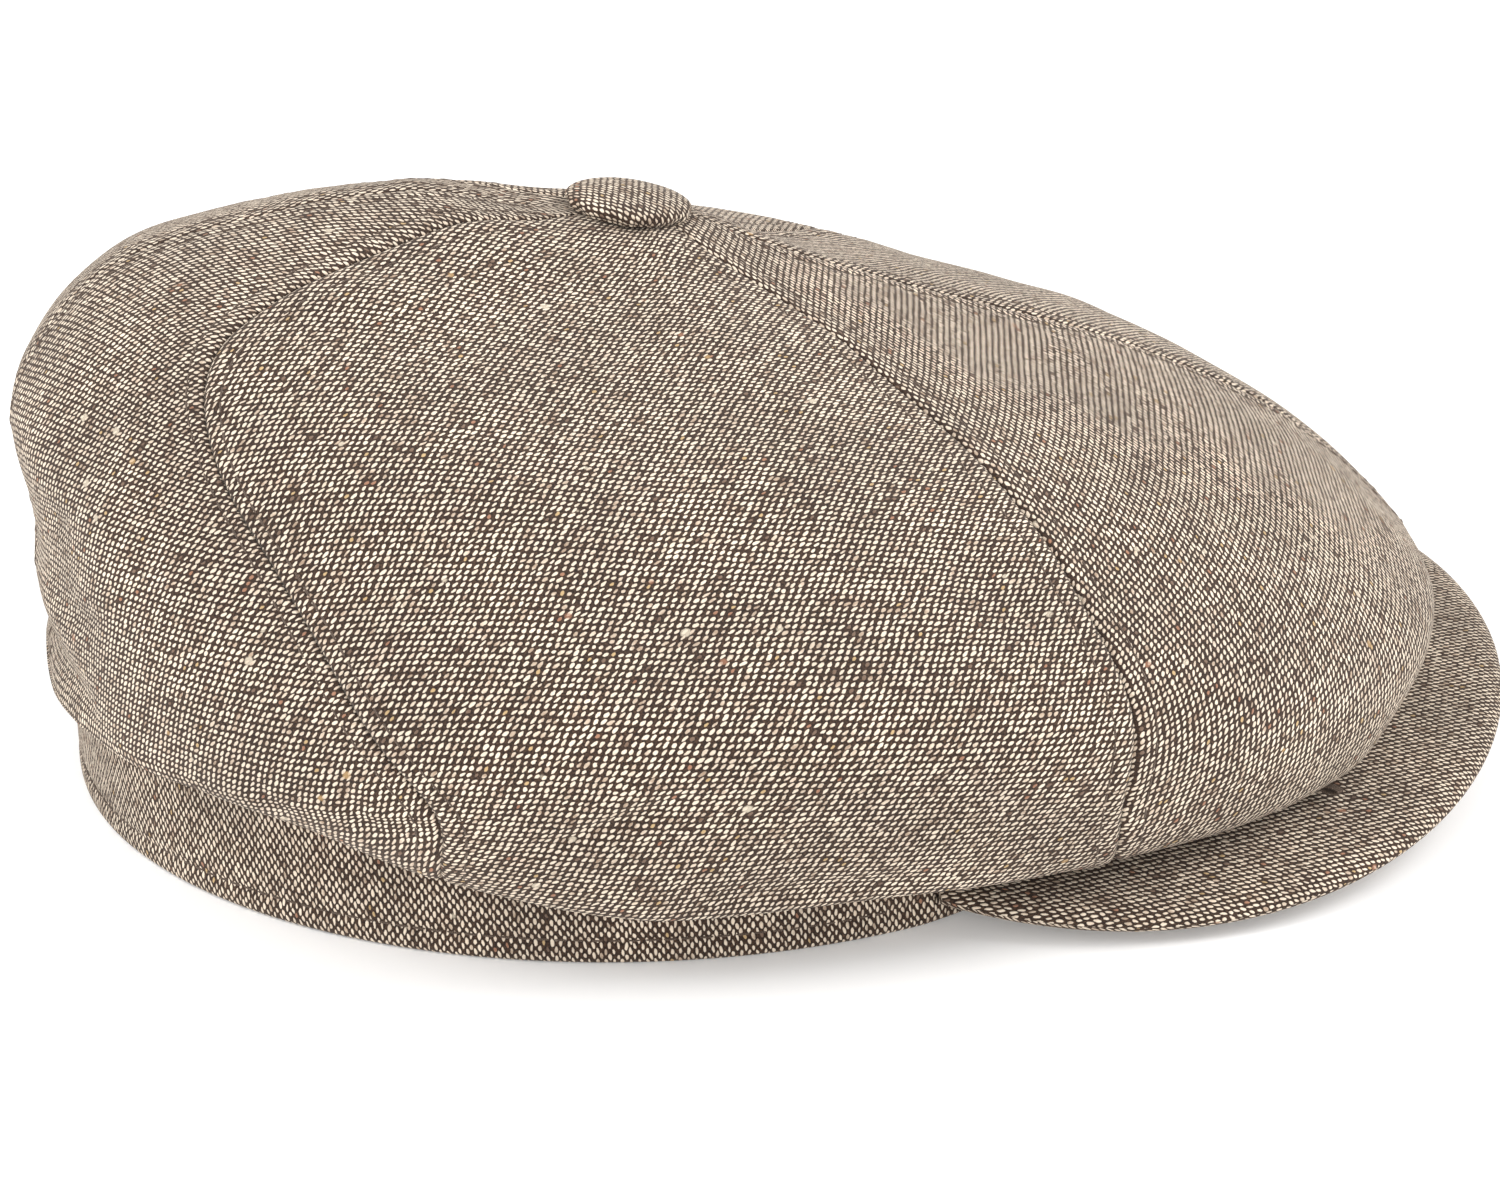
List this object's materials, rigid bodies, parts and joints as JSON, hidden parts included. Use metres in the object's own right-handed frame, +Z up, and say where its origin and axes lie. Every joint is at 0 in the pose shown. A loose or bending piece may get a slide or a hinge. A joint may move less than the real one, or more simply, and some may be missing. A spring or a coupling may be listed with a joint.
{
  "type": "newsboy cap",
  "caption": "Panelled newsboy cap in flecked tweed with a covered button, a band round the head opening and a short stiff visor under the crown's front.",
  "frame": {"origin": "on the table under the middle of the cap's bounding box, which is 24 mm in front of the middle of the head opening", "axes": "-Y towards the visor, which is the front; +X towards the wearer's left; +Z up, with the band's lower edge on Z = 0"},
  "size_m": [0.2194, 0.2634, 0.1031],
  "materials": {
    "tweed": "cream and dark brown twill",
    "lining_satin": "smooth satin",
    "stiffener": "pressed board and buckram",
    "sweatband_tape": "ribbed cotton tape",
    "button_metal": "pressed steel",
    "thread": "dark brown thread"
  },
  "bodies": {
    "root": {"band_interfacing": "stiffener", "button_back": "button_metal", "button_cover": "tweed", "button_shell": "button_metal", "crown_panel_back_left": "tweed", "crown_panel_back_right": "tweed", "crown_panel_front_left": "tweed", "crown_panel_front_right": "tweed", "crown_panel_side_left": "tweed", "crown_panel_side_right": "tweed", "lining_panel_back_left": "lining_satin", "lining_panel_back_right": "lining_satin", "lining_panel_front_left": "lining_satin", "lining_panel_front_right": "lining_satin", "lining_panel_side_left": "lining_satin", "lining_panel_side_right": "lining_satin", "outer_band": "tweed", "sweatband": "sweatband_tape", "topstitch_back_left_aft": "thread", "topstitch_back_left_fore": "thread", "topstitch_back_right_aft": "thread", "topstitch_back_right_fore": "thread", "topstitch_band": "thread", "topstitch_front_left_aft": "thread", "topstitch_front_left_fore": "thread", "topstitch_front_right_aft": "thread", "topstitch_front_right_fore": "thread", "topstitch_side_left_aft": "thread", "topstitch_side_left_fore": "thread", "topstitch_side_right_aft": "thread", "topstitch_side_right_fore": "thread", "visor_board": "stiffener", "visor_tack_left": "thread", "visor_tack_right": "thread", "visor_top_cover": "tweed", "visor_under_cover": "tweed"}
  },
  "joints": []
}
